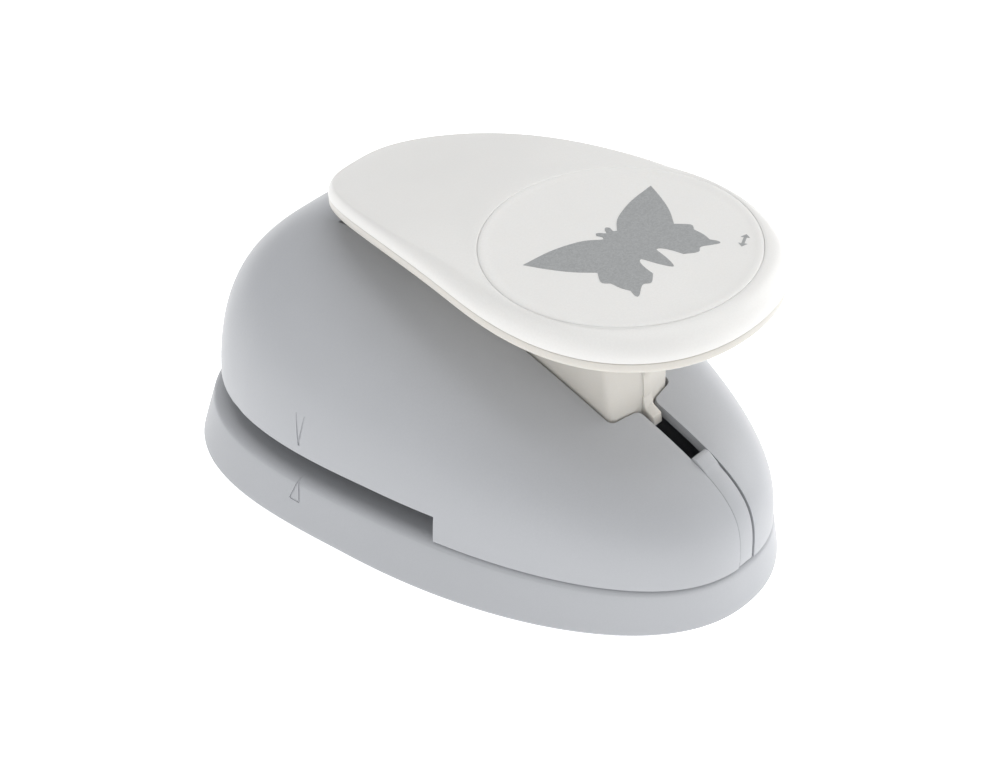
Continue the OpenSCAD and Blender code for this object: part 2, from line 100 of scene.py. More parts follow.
# ---------------------------------------------------------------- shape formulas
def spow(v, p):
    """A power that keeps the sign"""
    return np.sign(v) * np.abs(v) ** p


def bulge(u, p):
    """One quarter of a rounded outline: 1 at u = 0 and 0 at u = 1 or -1, squarer with a higher power"""
    return np.clip(1 - np.abs(u) ** p, 0, 1) ** (1 / p)


def egg_ring(front, back, width, egg, front_power, back_power, mid, n):
    """n points of a closed egg-shaped outline, from the front tip round by +X"""
    t = np.arange(n) * 2 * math.pi / n
    c, s = np.sin(t), -np.cos(t)
    p = np.where(s < 0, front_power, back_power)
    v = spow(s, 2 / p)
    return np.stack([width * spow(c, 2 / p) * (1 + egg * v), mid + np.where(s < 0, front, back) * v], -1)


def shell_u(y):
    """Place along the housing, from -1 at the nose to 1 at the tail"""
    return (y - TOP_MID) / np.where(y < TOP_MID, TOP_LEN, SHELL_BACK_LEN)


def shell_w(y):
    """Half width of the housing at the deck"""
    u = shell_u(y)
    power = np.where(u < 0, PLAN_POWER, SHELL_BACK_POWER)
    return TOP_W * bulge(u, power) * (1 + PLAN_EGG * u)


def crown(y):
    """Height of the ridge over the deck, before the nose and tail come down"""
    t = y / 70
    return CROWN_H + 14.5 * t - 11 * t**2 - 12.5 * t**3


def shell_h(y):
    """Height of the ridge over the deck"""
    u = shell_u(y)
    return crown(y) * bulge(u, np.where(u < 0, NOSE_POWER, TAIL_POWER))


def section_power(y):
    """Squareness of the housing's cross-section"""
    return 2.35 + 0.6 * (y + 70) / 140


def shell_point(y, a):
    """A point of the housing's outside: a is 0 at the deck and a right angle at the ridge"""
    e = 2 / section_power(y)
    return np.stack([shell_w(y) * np.clip(np.cos(a), 0, 1) ** e, y + 0 * a,
                     DECK_Z + shell_h(y) * np.clip(np.sin(a), 0, 1) ** e], -1)


def angle_at_x(y, x):
    """The angle of shell_point where the shell is x from its middle plane"""
    ratio = np.clip(x / np.maximum(shell_w(y), 1e-6), 0, 1)
    return np.arccos(ratio ** (section_power(y) / 2))


def angle_at_z(y, z):
    """The angle of shell_point where the shell is at height z"""
    ratio = np.clip((z - DECK_Z) / np.maximum(shell_h(y), 1e-6), 0, 1)
    return np.arcsin(ratio ** (section_power(y) / 2))


def lever_top(y):
    """Height of the lever's top: a flat slope round the pad that bends down behind it"""
    return PAD_Z - PAD_SLOPE * (y - DISC_Y) - BEND * np.maximum(0, y - BEND_Y) ** 2


def edge_size(y):
    """How far the lever's rounded edge reaches in and down at y: broad round the pad, small at the back"""
    t = np.clip((y + 48) / 70, 0, 1)
    t = t * t * (3 - 2 * t)
    return 4.6 - 3.2 * t, 5.2 - 2.7 * t


def edge_ring(angle, inset, n):
    """A ring on the rounded edge: angle 0 at its widest, a right angle where it meets the top"""
    outer = lever_ring(inset, 0, n)
    reach, drop = edge_size(outer[:, 1])
    room = np.linalg.norm(outer[:, :2] - [0, DISC_Y], axis=1) - DISC_R - DISC_ROOM
    reach = np.minimum(reach, np.maximum(room, 1))
    inner = lever_ring(inset + 1, 0, n)
    q = outer[:, :2] + (inner - outer)[:, :2] * (reach * (1 - math.cos(angle)))[:, None]
    return np.column_stack([q, lever_top(q[:, 1]) - drop * (1 - math.sin(angle))])


def lowered_ring(inset, below, n):
    """A ring at a given distance below the widest line of the rounded edge"""
    q = lever_ring(inset, 0, n)
    return q - np.outer(edge_size(q[:, 1])[1] + below, [0, 0, 1])


def lever_ring(inset, drop, n):
    """The lever's outline, drop below its top"""
    q = egg_ring(LEVER_LEN - inset, LEVER_LEN - inset, LEVER_W - inset, LEVER_EGG, LEVER_FRONT_POWER,
                 LEVER_BACK_POWER, LEVER_MID, n)
    return np.column_stack([q, lever_top(q[:, 1]) - drop])


# ---------------------------------------------------------------- mesh helpers
def new_object(name, data):
    """Puts an object in the scene"""
    obj = bpy.data.objects.new(name, data)
    bpy.context.scene.collection.objects.link(obj)
    return obj


def loose_object(name, points, faces, seat=SEAT_Y):
    """An object from points in mm"""
    mesh = bpy.data.meshes.new(name)
    mesh.from_pydata([tuple(p) for p in (np.asarray(points, float) + [0, seat, 0]) * MM], [], faces)
    return new_object(name, mesh)


def shaped(name, points, faces):
    """An object from points in mm, welded and ready for modifiers"""
    obj = loose_object(name, points, faces)
    soften(obj, BLEND_DEGREES)
    return obj


def add_mesh(name, points, faces, body, material, sharp):
    """A mesh piece riding on a body, with sharp edges where its faces turn over sharp degrees"""
    return dress(loose_object(name, points, faces), body, material, sharp)


def dress(obj, body, material, sharp):
    """Shades a piece, gives it its material and slot, and lets it ride on a body"""
    soften(obj, sharp)
    obj.data.materials.clear()
    obj.data.materials.append(material)
    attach(obj, body)
    return obj


def soften(obj, sharp):
    """Welds a mesh, turns its faces outwards and shades it smooth, except over sharp degrees"""
    b = bmesh.new()
    b.from_mesh(obj.data)
    bmesh.ops.remove_doubles(b, verts=b.verts, dist=2e-6)
    bmesh.ops.dissolve_degenerate(b, dist=1e-6, edges=b.edges)
    bmesh.ops.recalc_face_normals(b, faces=b.faces)
    for f in b.faces:
        f.smooth = True
    for e in b.edges:
        e.smooth = len(e.link_faces) == 2 and e.calc_face_angle(0) < math.radians(sharp)
    b.to_mesh(obj.data)
    b.free()


def quads(rows, cols, start=0, wrap=False):
    """Faces of a grid of rows by cols points, numbered from start"""
    last = cols if wrap else cols - 1
    return [(start + r * cols + c, start + r * cols + (c + 1) % cols,
             start + (r + 1) * cols + (c + 1) % cols, start + (r + 1) * cols + c)
            for r in range(rows - 1) for c in range(last)]


def loft(rings, closed=False):
    """Points and faces skinned over rings of equal length. closed joins the last ring to the first,
    or else a strip of faces between mirrored points closes each end"""
    n = len(rings[0])
    count = len(rings)
    points = np.concatenate(rings)
    faces = quads(count, n, wrap=True)
    if closed:
        faces += [((count - 1) * n + i, (count - 1) * n + (i + 1) % n, (i + 1) % n, i) for i in range(n)]
    else:
        for base in (0, (count - 1) * n):
            for i in range(1, n // 2 + 1):
                quad = [base + i - 1, base + i % n, base + (n - i) % n, base + (n - i + 1) % n]
                faces.append(tuple(dict.fromkeys(quad)))
    return points, faces


def evaluated_mesh(obj):
    """A new mesh of an object as its modifiers or its curve make it"""
    graph = bpy.context.evaluated_depsgraph_get()
    return bpy.data.meshes.new_from_object(obj.evaluated_get(graph))


def modify(obj, kind, **values):
    """Adds a modifier and applies it"""
    m = obj.modifiers.new(kind, kind)
    for key, value in values.items():
        setattr(m, key, value)
    mesh = evaluated_mesh(obj)
    obj.modifiers.clear()
    old, obj.data = obj.data, mesh
    bpy.data.meshes.remove(old)


def bevel(obj, width, segments, degrees=50):
    """Rounds the edges where a piece's faces turn over the given degrees"""
    modify(obj, "BEVEL", width=width * MM, segments=segments, limit_method="ANGLE",
           angle_limit=math.radians(degrees))


def cut(obj, cutter):
    """Takes the cutter out of a piece and drops it"""
    modify(obj, "BOOLEAN", operation="DIFFERENCE", object=cutter, solver="EXACT")
    bpy.data.objects.remove(cutter)


def prism(outline, low, high):
    """A closed prism over an outline in Y and Z, from low to high along X"""
    n = len(outline)
    points = [(x, *q) for x in (low, high) for q in outline]
    faces = [tuple(range(n)), tuple(range(2 * n - 1, n - 1, -1))]
    faces += [(i, (i + 1) % n, n + (i + 1) % n, n + i) for i in range(n)]
    return points, faces


def fillet(corners, radii, steps=6):
    """An open or closed path with its inner corners rounded by arcs"""
    corners = [np.array(c, float) for c in corners]
    path = [corners[0]]
    for i in range(1, len(corners) - 1):
        before, here, after = corners[i - 1], corners[i], corners[i + 1]
        a = (before - here) / np.linalg.norm(before - here)
        b = (after - here) / np.linalg.norm(after - here)
        half = math.acos(np.clip(a @ b, -1, 1)) / 2
        reach = radii[i] / math.tan(half)
        middle = here + (a + b) / np.linalg.norm(a + b) * radii[i] / math.sin(half)
        start, end = here + a * reach, here + b * reach
        for k in range(steps + 1):
            t = k / steps
            v = (start - middle) * (1 - t) + (end - middle) * t
            path.append(middle + v / np.linalg.norm(v) * radii[i])
    path.append(corners[-1])
    return np.array(path)


def resample(path, spacing):
    """Points along a path with gaps no longer than spacing, its own points kept"""
    out = [path[0]]
    for a, b in zip(path[:-1], path[1:]):
        n = max(1, int(math.ceil(np.linalg.norm(b - a) / spacing)))
        out += [a + (b - a) * (k + 1) / n for k in range(n)]
    return np.array(out)


# ---------------------------------------------------------------- materials
class Nodes:
    """Short ways to write a procedural material"""

    def __init__(self, name):
        self.material = bpy.data.materials.new(name)
        self.material.use_nodes = True
        self.tree = self.material.node_tree
        self.shader = self.tree.nodes["Principled BSDF"]

    def node(self, kind, **values):
        """A new node with its properties set"""
        n = self.tree.nodes.new(kind)
        for key, value in values.items():
            setattr(n, key, value)
        return n

    def link(self, a, b):
        """Wires output a to input b"""
        self.tree.links.new(a, b)

    def coords(self):
        """Places on the piece in metres"""
        return self.node("ShaderNodeTexCoord").outputs["Object"]

    def noise(self, scale, detail=2.0, rough=0.5, stretch=None):
        """Noise from 0 to 1, which stretch draws out into lines"""
        tex = self.node("ShaderNodeTexNoise")
        tex.inputs["Scale"].default_value = scale
        tex.inputs["Detail"].default_value = detail
        tex.inputs["Roughness"].default_value = rough
        source = self.coords()
        if stretch:
            mapping = self.node("ShaderNodeMapping")
            mapping.inputs["Scale"].default_value = stretch
            self.link(source, mapping.inputs["Vector"])
            source = mapping.outputs["Vector"]
        self.link(source, tex.inputs["Vector"])
        return tex.outputs["Fac"]

    def ramp(self, value, low, high, out_low, out_high):
        """Maps low to high onto out_low to out_high"""
        r = self.node("ShaderNodeMapRange")
        for key, v in (("From Min", low), ("From Max", high), ("To Min", out_low), ("To Max", out_high)):
            r.inputs[key].default_value = v
        self.link(value, r.inputs["Value"])
        return r.outputs["Result"]

    def mix(self, factor, a, b):
        """Colour a at factor 0 and b at factor 1, each a tuple or a socket"""
        m = self.node("ShaderNodeMix", data_type="RGBA")
        self.link(factor, m.inputs["Factor"])
        for socket, colour in ((m.inputs["A"], a), (m.inputs["B"], b)):
            if isinstance(colour, tuple):
                socket.default_value = (*colour, 1)
            else:
                self.link(colour, socket)
        return m.outputs["Result"]

    def add(self, a, b, weight):
        """a plus b times weight"""
        m = self.node("ShaderNodeMath", operation="MULTIPLY_ADD")
        self.link(b, m.inputs[0])
        m.inputs[1].default_value = weight
        self.link(a, m.inputs[2])
        return m.outputs[0]

    def bump(self, height, distance):
        """Makes a height from 0 to 1 stand out by a distance in metres"""
        b = self.node("ShaderNodeBump")
        b.inputs["Distance"].default_value = distance
        b.inputs["Strength"].default_value = 1.0
        self.link(height, b.inputs["Height"])
        self.link(b.outputs["Normal"], self.shader.inputs["Normal"])

    def pointiness(self):
        """Over a half on outer edges"""
        return self.node("ShaderNodeNewGeometry").outputs["Pointiness"]


def plastic(name, colour, rough, grain_depth=0.006, milky=0.0, wear=0.05):
    """Moulded plastic: mould grain, faint flow clouds and paler rubbed edges. Milky lets light into it"""
    grain_mm, grains_per_cell = 0.22, 2.2
    m = Nodes(name)
    tint = np.array(colour)
    clouds = m.ramp(m.noise(28, 3, 0.55), 0.3, 0.7, 0, 1)
    base = m.mix(clouds, tuple(tint * 0.975), tuple(np.clip(tint * 1.02, 0, 1)))
    speck = m.ramp(m.noise(2600, 2, 0.6), 0.35, 0.65, 0, 0.5)
    base = m.mix(speck, base, tuple(tint * 0.955))
    edge = m.ramp(m.pointiness(), 0.52, 0.6, 0, wear)
    base = m.mix(edge, base, tuple(np.clip(tint * 1.15 + 0.02, 0, 1)))
    m.link(base, m.shader.inputs["Base Color"])
    smudge = m.ramp(m.noise(60, 4, 0.6), 0.3, 0.7, rough - 0.035, rough + 0.045)
    m.link(smudge, m.shader.inputs["Roughness"])
    m.shader.inputs["IOR"].default_value = 1.49
    m.shader.inputs["Specular IOR Level"].default_value = 0.42
    if milky:
        m.shader.inputs["Subsurface Weight"].default_value = milky
        m.shader.inputs["Subsurface Radius"].default_value = (0.0012, 0.001, 0.0008)
        m.shader.inputs["Subsurface Scale"].default_value = 1.0
    grain = m.noise(1 / (grain_mm * MM) / grains_per_cell, 3, 0.65)
    waves = m.noise(45, 2, 0.5)
    m.bump(m.add(grain, waves, 1.8), grain_depth * MM)
    return m.material


def metal(name, colour, rough, brush=(1, 14, 14), scratch=0.004):
    """Ground or drawn metal with fine lines, stains and a little wear"""
    m = Nodes(name)
    tint = np.array(colour)
    lines = m.noise(420, 4, 0.7, stretch=brush)
    stains = m.ramp(m.noise(90, 4, 0.6), 0.4, 0.75, 0, 0.5)
    base = m.mix(stains, tuple(tint), tuple(tint * 0.8))
    m.link(base, m.shader.inputs["Base Color"])
    m.link(m.ramp(lines, 0.2, 0.8, rough - 0.08, rough + 0.14), m.shader.inputs["Roughness"])
    m.shader.inputs["Metallic"].default_value = 1.0
    m.bump(lines, scratch * MM)
    return m.material


def ink(name, colour):
    """Metallic ink: flat flakes that each catch the light a little differently"""
    m = Nodes(name)
    tint = np.array(colour)
    flakes = m.node("ShaderNodeTexVoronoi")
    flakes.inputs["Scale"].default_value = 3400
    m.link(m.coords(), flakes.inputs["Vector"])
    split = m.node("ShaderNodeSeparateColor")
    m.link(flakes.outputs["Color"], split.inputs["Color"])
    glint = m.ramp(split.outputs["Red"], 0.0, 1.0, 0, 1)
    base = m.mix(glint, tuple(tint * 0.92), tuple(np.clip(tint * 1.1, 0, 1)))
    m.link(base, m.shader.inputs["Base Color"])
    m.link(m.ramp(split.outputs["Green"], 0, 1, 0.38, 0.62), m.shader.inputs["Roughness"])
    m.shader.inputs["Metallic"].default_value = 0.35
    m.bump(split.outputs["Blue"], 0.004 * MM)
    return m.material


def rubber(name, colour):
    """Dull rubber with dust in its pores"""
    m = Nodes(name)
    tint = np.array(colour)
    dust = m.ramp(m.noise(240, 4, 0.7), 0.45, 0.75, 0, 0.5)
    m.link(m.mix(dust, tuple(tint), tuple(tint + 0.05)), m.shader.inputs["Base Color"])
    m.link(m.ramp(dust, 0, 1, 0.72, 0.95), m.shader.inputs["Roughness"])
    m.bump(m.noise(1800, 3, 0.6), 0.02 * MM)
    return m.material


GREY = plastic("grey_moulded", (0.435, 0.447, 0.470), 0.38)
WHITE = plastic("white_moulded", (0.765, 0.76, 0.745), 0.36, milky=0.05, grain_depth=0.004)
IVORY = plastic("ivory_moulded", (0.62, 0.6, 0.56), 0.34, milky=0.28, grain_depth=0.003)
DISC = plastic("disc_moulded", (0.765, 0.76, 0.745), 0.42, milky=0.08, grain_depth=0.004)
BLACK = plastic("black_moulded", (0.025, 0.025, 0.028), 0.45, wear=0.2)
NYLON = plastic("nylon", (0.72, 0.71, 0.67), 0.38, milky=0.15)
PLATE = metal("ground_plate", (0.56, 0.57, 0.58), 0.30)
ZINC = metal("zinc_plate", (0.64, 0.65, 0.66), 0.26, brush=(3, 3, 3), scratch=0.006)
WIRE = metal("spring_wire", (0.42, 0.43, 0.45), 0.32, brush=(6, 6, 1))
BRASS = metal("turned_brass", (0.72, 0.54, 0.25), 0.25, brush=(2, 2, 20))
INK = ink("silver_ink", (0.375, 0.385, 0.39))
RUBBER = rubber("foot_rubber_black", (0.03, 0.03, 0.032))


def paint_cad_nodes():
    """Materials for the CAD's own meshes, which are seen where no piece replaces them"""
    plates = ["die_plate", "throat_spacer", "stripper_plate", "pivot_bracket", "punch_cutter", "punch_holder"]
    fasteners = ["bottom_screws", "housing_screws", "die_screws", "stripper_screws", "guide_posts",
                 "bracket_rivets", "pivot_pin", "pin_clips", "holder_screws", "cover_screws", "press_pin"]
    finish = {**dict.fromkeys(plates, PLATE), **dict.fromkeys(fasteners, ZINC),
              "bottom_cover": BLACK, "wear_pad": BLACK, "rubber_feet": RUBBER, "guide_bushes": BRASS,
              "pivot_spacers": NYLON}
    for name, material in finish.items():
        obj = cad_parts[name]
        obj.data.materials.clear()
        obj.data.materials.append(material)


# ---------------------------------------------------------------- base
def base_ring(inset, z):
    """The base's outline at height z"""
    n = 240
    t = (z - FOOT_Z) / (DECK_Z - FOOT_Z)
    front, back, width, *rest = FOOT * (1 - t) + TOP * t
    q = egg_ring(front - inset, back - inset, width - inset, *rest, n)
    return np.column_stack([q, np.full(n, float(z))])


def base_x(y, z):
    """Half width of the base's slanted wall and its rounded shoulder"""
    t = (z - FOOT_Z) / (DECK_Z - FOOT_Z)
    front, back, width, egg, front_power, back_power, mid = FOOT * (1 - t) + TOP * t
    v = (y - mid) / back
    up = max(0, 1 - (DECK_Z - z) / SHOULDER_RISE)
    return width * float(bulge(v, back_power)) * (1 + egg * v) - SHOULDER * (1 - math.sqrt(1 - up * up))


def shell_x(y, z):
    """Half width of the housing at y and height z"""
    y = np.array(float(y))
    return float(shell_point(y, angle_at_z(y, z))[0])


def cut_stroke(obj, surface_x, start, end, widths, depths):
    """Engraves a stroke in both sides of a piece, from start to end in Y and Z on a surface"""
    stand_out = 2
    start, end = np.array(start, float), np.array(end, float)
    along = (end - start) / np.linalg.norm(end - start)
    across = np.array([along[1], -along[0]])
    rings = []
    for t in np.linspace(0, 1, 9):
        half = (widths[0] * (1 - t) + widths[1] * t) / 2
        depth = depths[0] * (1 - t) + depths[1] * t
        middle = start * (1 - t) + end * t
        a, b = middle - across * half, middle + across * half
        rings.append([(surface_x(*a) - depth, *a), (surface_x(*b) - depth, *b),
                      (surface_x(*b) + stand_out, *b), (surface_x(*a) + stand_out, *a)])
    for side in (-1, 1):
        points = np.array(rings).reshape(-1, 3) * [side, 1, 1]
        faces = quads(len(rings), 4, wrap=True) + [(3, 2, 1, 0), tuple(range(len(points) - 4, len(points)))]
        cut(obj, shaped("stroke_cut", points, faces))


def rectangle_like(ring, half_x, half_y, mid_y, z):
    """Points on a rectangle, each on the ray from its middle to a point of the ring"""
    d = ring[:, :2] - [0, mid_y]
    k = np.minimum(half_x / np.maximum(abs(d[:, 0]), 1e-9), half_y / np.maximum(abs(d[:, 1]), 1e-9))
    return np.column_stack([d * k[:, None] + [0, mid_y], np.full(len(ring), float(z))])


def build_base():
    """The base tray with a sunk seat for the die plate and an outlet under it"""
    die_low, die_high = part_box("die_plate")
    die_mid = (die_low.y + die_high.y) / 2 / MM - SEAT_Y
    play = 0.1
    half_x, half_y = die_high.x / MM + play, (die_high.y - die_low.y) / 2 / MM + play
    die_z = die_low.z / MM
    outlet_x, outlet_y = 28, 20
    under_deck = DECK_Z - 5
    toe = 0.8
    rings = [base_ring(WALL + 0.4, under_deck), base_ring(WALL + 0.4, FOOT_Z + 0.25),
             base_ring(WALL + 0.15, FOOT_Z)]
    for a in np.radians(np.arange(0, 91, 15)):
        rings.append(base_ring(toe * (1 - math.sin(a)), FOOT_Z + toe * (1 - math.cos(a))))
    for z in np.linspace(FOOT_Z + toe + 1, DECK_Z - SHOULDER_RISE - 1, 6):
        rings.append(base_ring(0, z))
    for a in np.radians(np.arange(0, 91, 7.5)):
        rings.append(base_ring(SHOULDER * (1 - math.cos(a)), DECK_Z - SHOULDER_RISE * (1 - math.sin(a))))
    for inset in (4, 6, 8):
        rings.append(base_ring(inset, DECK_Z))
    outer = rings[-1]
    for z, grow in ((DECK_Z, 0.25), (DECK_Z - 0.25, 0), (die_z, 0)):
        rings.append(rectangle_like(outer, half_x + grow, half_y + grow, die_mid, z))
    for z in (die_z, under_deck):
        rings.append(rectangle_like(outer, outlet_x, outlet_y, die_mid, z))
    points, faces = loft(rings, closed=True)
    base = shaped("base_tray_skin", points, faces)
    # The pointer that shows the middle of the die is three strokes
    apex, left, right = (MARK_Y, 11.2), (MARK_Y + 1.3, 6.6), (MARK_Y - 1.3, 6.6)
    for start, end in ((apex, left), (apex, right), (left, right)):
        cut_stroke(base, base_x, start, end, (0.42, 0.42), (0.2, 0.2))
    dress(base, "base", GREY, 30)
    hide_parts("base_tray")


# ---------------------------------------------------------------- housing
def gap_path():
    """Edge of the slot and the stem's window on the +X side, from the nose to the window's back corner"""
    front = PIVOT_Y - STEM_CORNER_R - WINDOW_GAP
    prow = PIVOT_Y - (STEM_PROW_R - (STEM_PROW_R - STEM_CORNER_R) * SLOT_HALF / STEM_HALF) - WINDOW_GAP
    corners = [(SLOT_HALF, -70.7), (SLOT_HALF, prow), (WINDOW_HALF, front), (WINDOW_HALF, WINDOW_BACK)]
    return fillet(corners, [0, 1.5, 1.7, 0], 7)


def build_housing():
    """The housing's shell: sheets of rows on shell_point between the rim and the ridge or the gap in
    it, thickened inwards"""
    slot_end, spacing = -45.5, 1.3
    nose_q = np.linspace(0, 1, 61)
    y_nose = TOP_MID - TOP_LEN * bulge(nose_q, NOSE_POWER)
    y_nose = y_nose[(y_nose < slot_end) & (shell_w(y_nose) > SLOT_HALF)]
    middle = resample(gap_path()[1:], spacing)
    rows_g = np.concatenate([np.column_stack([np.full(len(y_nose), SLOT_HALF), y_nose]), middle])
    # Behind the window the rows end where the ridge comes down to the mouth
    tail_q = np.linspace(1, 0, 75)
    y_tail = TOP_MID + SHELL_BACK_LEN * bulge(tail_q, TAIL_POWER)
    over_mouth = shell_h(y_tail) - (MOUTH_Z - DECK_Z)
    y_tail = y_tail[(y_tail > WINDOW_BACK + 0.7) & (over_mouth > 0.1)]
    y_fine = np.linspace(y_tail[-1], TOP_MID + SHELL_BACK_LEN, 2000)
    y_tail = np.append(y_tail, y_fine[shell_h(y_fine) > MOUTH_Z - DECK_Z + 0.02][-1])

    t = np.linspace(0, 1, 56)
    grids = []

    def patch(y, from_angle, to_angle, steps):
        """Adds a sheet whose rows run at each y from one angle to the other"""
        s = steps[None]
        a = from_angle[:, None] * (1 - s) + to_angle[:, None] * s
        grids.append(shell_point(y[:, None] * np.ones_like(s), a))

    # One of the rows is moved onto the mouth's step
    y = rows_g[:, 1]
    step = np.argmin(abs(y - MOUTH_Y))
    y[step] = MOUTH_Y
    top_a = angle_at_x(y, rows_g[:, 0])
    rim_a = np.minimum(angle_at_z(y, MOUTH_Z), top_a)
    patch(y, top_a, rim_a, t)
    patch(y[:step + 1], rim_a[:step + 1], 0 * rim_a[:step + 1], np.linspace(0, 1, 8))
    back = np.concatenate([[WINDOW_BACK], y_tail])
    side_a = np.minimum(angle_at_x(back, np.minimum(WINDOW_HALF, shell_w(back) * 0.6)), math.pi / 2)
    low_a = np.minimum(angle_at_z(back, MOUTH_Z), side_a)
    patch(back, side_a, low_a, t)
    patch(back, np.full(len(back), math.pi / 2), side_a, np.linspace(0, 1, 15))

    points, faces = [], []
    for g in grids:
        for side in (1, -1):
            start = sum(len(p) for p in points)
            rows, n = g.shape[:2]
            points.append((g * [side, 1, 1]).reshape(-1, 3))
            faces += quads(rows, n, start)
    shell = shaped("housing_shell_skin", np.concatenate(points), faces)
    outward(shell)
    modify(shell, "SOLIDIFY", thickness=WALL * MM, offset=-1, use_even_offset=False)
    bevel(shell, 0.35, 4)
    soften(shell, BLEND_DEGREES)
    for side in (-1, 1):
        cut_stroke(shell, shell_x, (MARK_Y, 20.2), (MARK_Y + side * 1.15, 27.8), (0.5, 0.3), (0.26, 0.07))
    dress(shell, "base", GREY, 32)
    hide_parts("housing_shell")


def outward(obj):
    """Turns an open sheet's faces so that most of them face away from the middle of its foot"""
    mesh = obj.data
    middle = Vector((0, 0, DECK_Z)) * MM
    away = sum((p.center - middle).dot(p.normal) * p.area for p in mesh.polygons)
    if away < 0:
        mesh.flip_normals()


def build_nose_clip():
    """A springy strip in the nose's slot, with a hooked top, close to the slot's left side"""
    top_y = -57.6
    lines = []
    for inset in (0.15, 2.6):
        start = math.asin((TOP_MID - top_y) / (TOP_LEN - inset))
        turn = np.linspace(start, math.pi / 2, 40)
        y = TOP_MID - (TOP_LEN - inset) * np.sin(turn)
        u = (y - TOP_MID) / (TOP_LEN - inset)
        lines.append(np.column_stack([y, DECK_Z + 0.05 + (crown(y) - inset) * bulge(u, NOSE_POWER)]))
    outer, inner = lines
    y0, z0 = outer[0]
    hook = fillet([outer[6], outer[5] + [0.25, 0.55], (y0 - 0.4, z0 + 0.75), (y0 + 1.0, z0 + 0.3),
                   (y0 + 0.7, z0 - 2.4), inner[0]], [0, 0.25, 1.1, 0.9, 0.7, 0], 6)
    outline = np.concatenate([outer[:6:-1], hook, inner[1:]])
    points, faces = prism(outline, CLIP_LEFT, CLIP_RIGHT)
    clip = shaped("nose_clip_strip", points, faces)
    bevel(clip, 0.35, 3, 60)
    dress(clip, "base", GREY, 45)
    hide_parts("nose_clip")


# ---------------------------------------------------------------- lever
def disc_matrix():
    """The disc's own frame: its middle on the pad, tilted with the pad's slope"""
    tilt = Matrix.Rotation(-math.atan(PAD_SLOPE), 4, "X")
    return Matrix.Translation(Vector((0, DISC_Y + SEAT_Y, PAD_Z)) * MM) @ tilt


def turned(profile):
    """Points and faces of a closed turned piece, from a profile of radius and height"""
    n = 192
    a = np.arange(n) * 2 * math.pi / n
    rings = [np.column_stack([r * np.sin(a), -r * np.cos(a), np.full(n, float(z))]) for r, z in profile]
    return loft(rings)


def build_lever_cover():
    """The white cover: a rounded edge, a top that sinks to a bead, a groove and the well of the disc"""
    n = LEVER_POINTS
    rings = [lowered_ring(COVER_T, -0.1, n), lowered_ring(0.5, -0.1, n), lowered_ring(0.18, -0.18, n)]
    for a in np.radians(np.arange(0, 91, 4.5)):
        rings.append(edge_ring(a, 0, n))
    top = rings[-1]
    d = top[:, :2] - [0, DISC_Y]
    reach = np.linalg.norm(d, axis=1)
    unit = d / reach[:, None]

    def circle(radius, lift):
        """A ring round the disc's middle, lift over the pad's slope"""
        q = unit * radius + [0, DISC_Y]
        return np.column_stack([q, PAD_Z - PAD_SLOPE * (q[:, 1] - DISC_Y) + lift])

    bead = DISC_R + 0.5
    for k in (0.12, 0.3, 0.5, 0.7, 0.88):
        q = unit * (reach * (1 - k) + bead * k)[:, None] + [0, DISC_Y]
        rings.append(np.column_stack([q, lever_top(q[:, 1])]))
    for radius, lift in ((bead, 0), (DISC_R + 0.3, -0.03), (DISC_R + 0.12, -0.08),
                         (DISC_R + 0.03, -0.14), (DISC_R + 0.03, -1.2)):
        rings.append(circle(radius, lift))
    points, faces = loft(rings)
    cover = add_mesh("lever_cover_skin", points, faces, "lever", WHITE, 40)
    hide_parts("lever_cover")
    profile = [(DISC_R - 0.05, -1.1), (DISC_R, -1.0), (DISC_R, -0.12), (DISC_R - 0.06, -0.02),
               (DISC_R - 0.2, 0.07), (DISC_R - 0.45, 0.14), (DISC_R - 0.8, 0.17), (DISC_R - 1.2, 0.16),
               (DISC_R - 1.6, 0.12), (DISC_R - 2.0, 0.08), (DISC_R - 2.6, 0.06)]
    for r in (25, 22, 14, 6):
        profile.append((r, 0.06))
    points, faces = turned(profile)
    disc = loose_object("motif_disc_face", points, faces, seat=0)
    disc.data.transform(disc_matrix())
    dress(disc, "lever", DISC, 50)
    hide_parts("motif_disc")


def build_lever_frame():
    """The ivory frame: a rim under the cover with two rounded edges, and the stem's parts"""
    n = LEVER_POINTS
    low_round, top_round, gap = 1.2, 0.25, 0.17
    rings = [lowered_ring(RIM_IN + 4, RIM_T, n)]
    for a in np.radians(np.arange(0, 91, 11.25)):
        across, up = low_round * (1 - math.sin(a)), low_round * (1 - math.cos(a))
        rings.append(lowered_ring(RIM_IN + across, RIM_T - up, n))
    for a in np.radians(np.arange(0, 91, 30)):
        across, up = top_round * (1 - math.cos(a)), top_round * math.sin(a)
        rings.append(lowered_ring(RIM_IN + across, gap + top_round - up, n))
    rings.append(lowered_ring(RIM_IN + 2.2, 0.1, n))
    points, faces = loft(rings)
    rim = add_mesh("lever_frame_rim", points, faces, "lever", IVORY, 45)
    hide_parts("lever_frame")
    build_stem()
    build_arms()
    build_gusset()
    build_tab()


def under_plate(y):
    """Height of the middle of the frame's rim, where the stem ends"""
    return lever_top(y) - edge_size(y)[1] - RIM_T / 2


def stem_ring(z, inset):
    """Outline of the stem at height z over the pivot's arc, with rounded corners"""
    def arc_y(radius):
        """Where an arc round the pivot passes height z, in front of the pivot"""
        return PIVOT_Y - math.sqrt((radius - inset) ** 2 - (z - PIVOT_Z) ** 2)

    w = STEM_HALF - inset
    prow, corner, back = arc_y(STEM_PROW_R), arc_y(STEM_CORNER_R), STEM_BACK - inset
    r = max(0.3, 1.8 - inset * 0.5)
    path = fillet([(0, prow), (w, corner), (w, back), (0, back)], [0, r, r, 0], 6)
    half = resample(path, 3.0)
    return np.concatenate([half, (half * [-1, 1])[-2:0:-1]])


